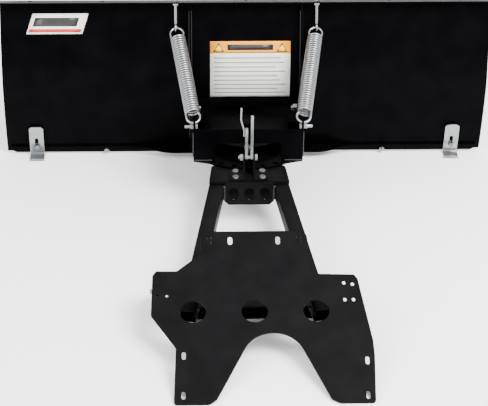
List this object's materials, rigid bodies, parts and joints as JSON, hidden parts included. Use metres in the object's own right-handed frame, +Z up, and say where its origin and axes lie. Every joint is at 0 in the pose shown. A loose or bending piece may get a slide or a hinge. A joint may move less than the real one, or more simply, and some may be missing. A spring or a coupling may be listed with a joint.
{
  "type": "atv plow blade",
  "caption": "Curved steel plow blade on a spring-trip swivel with angle lock, tube push frame and hinged universal mount plate.",
  "frame": {"origin": "on the ground under the middle of the overall box", "axes": "+X along the blade to the right seen from behind, +Y forward out of the blade's hollow front, +Z up"},
  "size_m": [1.27, 1.104, 0.4649],
  "materials": {
    "black_coat": "gloss black powder coat",
    "satin_coat": "satin black powder coat",
    "zinc": "bright zinc plate"
  },
  "bodies": {
    "push_frame": {"bracket_bolt_front_left": "zinc", "bracket_bolt_front_right": "zinc", "bracket_bolt_rear_left": "zinc", "bracket_bolt_rear_right": "zinc", "front_cross_plate": "satin_coat", "inner_cross_plate": "satin_coat", "king_pin": "black_coat", "king_pin_nut": "black_coat", "lever_bracket_left": "satin_coat", "lever_bracket_right": "satin_coat", "lever_pivot_bolt": "zinc", "lever_pivot_nut": "zinc", "lock_pin_guide": "satin_coat", "nose_plate": "satin_coat", "push_tube_left": "satin_coat", "push_tube_right": "satin_coat", "rear_cross_channel": "satin_coat"},
    "swivel": {"cheek_left": "black_coat", "cheek_right": "black_coat", "ear_bolt_left": "zinc", "ear_bolt_right": "zinc", "king_pin_sleeve": "black_coat", "swivel_back_plate": "black_coat", "swivel_base_plate": "black_coat", "swivel_front_web": "black_coat", "swivel_lower_plate": "black_coat", "swivel_top_plate": "black_coat"},
    "blade": {"eyebolt_left": "zinc", "eyebolt_nut_left": "zinc", "eyebolt_nut_right": "zinc", "eyebolt_right": "zinc", "lower_shelf": "black_coat", "moldboard": "black_coat", "rib_cross_brace": "black_coat", "rib_left": "black_coat", "rib_right": "black_coat", "skid_bolt_left": "zinc", "skid_bolt_right": "zinc", "trip_bolt_left": "zinc", "trip_bolt_right": "zinc", "trip_nut_left": "zinc", "trip_nut_right": "zinc", "trip_spring_left": "zinc", "trip_spring_right": "zinc", "wear_bar": "black_coat", "wear_bolt_left": "zinc", "wear_bolt_right": "zinc"},
    "skid_left": {"skid_shoe_left": "zinc"},
    "skid_right": {"skid_shoe_right": "zinc"},
    "lever": {"lever_strap": "zinc", "lock_lever": "zinc", "pull_rod": "zinc"},
    "lock_pin": {"lock_pin": "zinc"},
    "mount": {"hinge_rod": "zinc", "hinge_rod_nut": "zinc", "inner_lug_left": "satin_coat", "inner_lug_right": "satin_coat", "mount_plate": "satin_coat", "outer_lug_left": "satin_coat", "outer_lug_right": "satin_coat"}
  },
  "joints": [
    {"name": "swivel_angle", "type": "hinge", "parent": "push_frame", "child": "swivel", "pos_m": [0, 0.39066, 0.126], "axis": [0, 0, 1], "range_deg": [-25, 25]},
    {"name": "blade_trip", "type": "hinge", "parent": "swivel", "child": "blade", "pos_m": [0, 0.45266, 0.172], "axis": [-1, 0, 0], "range_deg": [0, 30], "stiffness_Nm_per_rad": 200, "springref_deg": -17.19, "deforming": ["trip_spring_left", "trip_spring_right"]},
    {"name": "skid_left_height", "type": "slide", "parent": "blade", "child": "skid_left", "axis": [0, -0.2079, 0.9781], "range_m": [-0.018, 0.003]},
    {"name": "skid_right_height", "type": "slide", "parent": "blade", "child": "skid_right", "axis": [0, -0.2079, 0.9781], "range_m": [-0.018, 0.003]},
    {"name": "lever_swing", "type": "hinge", "parent": "push_frame", "child": "lever", "pos_m": [0, 0.21266, 0.169], "axis": [-1, 0, 0], "range_deg": [0, 14]},
    {"name": "pin_drop", "type": "slide", "parent": "push_frame", "child": "lock_pin", "axis": [0, 0, -1], "range_m": [0, 0.0066]},
    {"name": "mount_hinge", "type": "hinge", "parent": "push_frame", "child": "mount", "pos_m": [0, -0.16934, 0.03407], "axis": [1, 0, 0], "range_deg": [-30, 8]}
  ],
  "couplings": [
    {"joint": "pin_drop", "follows": "lever_swing", "m_per_rad": 0.026602}
  ]
}
